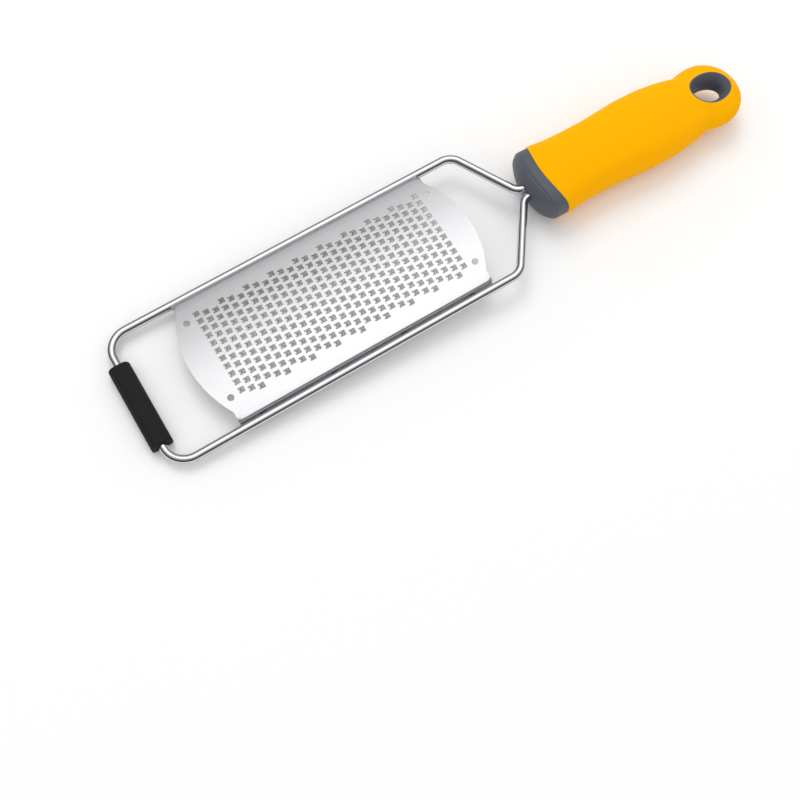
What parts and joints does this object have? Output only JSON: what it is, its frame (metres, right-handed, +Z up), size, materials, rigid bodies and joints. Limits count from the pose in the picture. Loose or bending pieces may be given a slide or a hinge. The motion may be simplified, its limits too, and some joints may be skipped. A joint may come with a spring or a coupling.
{
  "type": "wire_framed_rasp_grater",
  "caption": "Hand-held rasp grater: a crowned steel sheet with raised teeth in a bent wire frame, a rubber foot sleeve and a two-tone soft-grip handle with a hang hole",
  "frame": {"origin": "bottom centre of the bounding box, with the tool lying on its sleeve and the belly of its handle", "axes": "+X along the tool from the front bar to the handle's tail, +Y across it, +Z up through the toothed face"},
  "size_m": [0.3142, 0.069, 0.0216],
  "materials": {
    "polished_rod": "polished",
    "satin_sheet": "satin",
    "weld_metal": "satin",
    "black_rubber": "matte",
    "grey_plastic": "matte",
    "yellow_grip": "satin"
  },
  "bodies": {
    "root": {"wire_frame": "polished_rod", "grater_blade": "satin_sheet", "blade_welds": "weld_metal", "foot_sleeve": "black_rubber", "handle_core": "grey_plastic", "handle_grip": "yellow_grip"}
  },
  "joints": []
}
